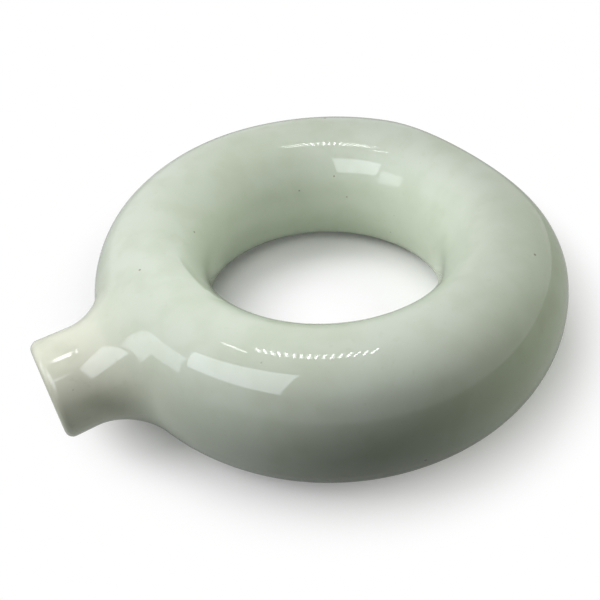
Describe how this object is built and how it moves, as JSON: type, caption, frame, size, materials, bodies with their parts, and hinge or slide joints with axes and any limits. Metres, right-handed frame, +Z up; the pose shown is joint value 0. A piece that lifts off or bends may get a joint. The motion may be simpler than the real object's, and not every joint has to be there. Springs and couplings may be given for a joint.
{
  "type": "donut vase",
  "caption": "Glazed pottery ring vase with an oval hollow section, a short round neck with a rounded lip and a flat foot opposite it, lying on its face.",
  "frame": {"origin": "on the table under the middle of the vase's box, as it lies on its face", "axes": "+Z up along the ring's own axis, the mouth of the neck faces -X and the flat foot faces +X"},
  "size_m": [0.2014, 0.188, 0.059],
  "materials": {
    "celadon_glaze": "glossy pale green glaze on stoneware",
    "clay_slip": "bare fired slip"
  },
  "bodies": {
    "root": {"front_half_ring": "celadon_glaze", "back_half_ring": "celadon_glaze", "neck": "celadon_glaze", "outer_seam_slip": "clay_slip", "hole_seam_slip": "clay_slip", "neck_joint_slip": "clay_slip"}
  },
  "joints": []
}
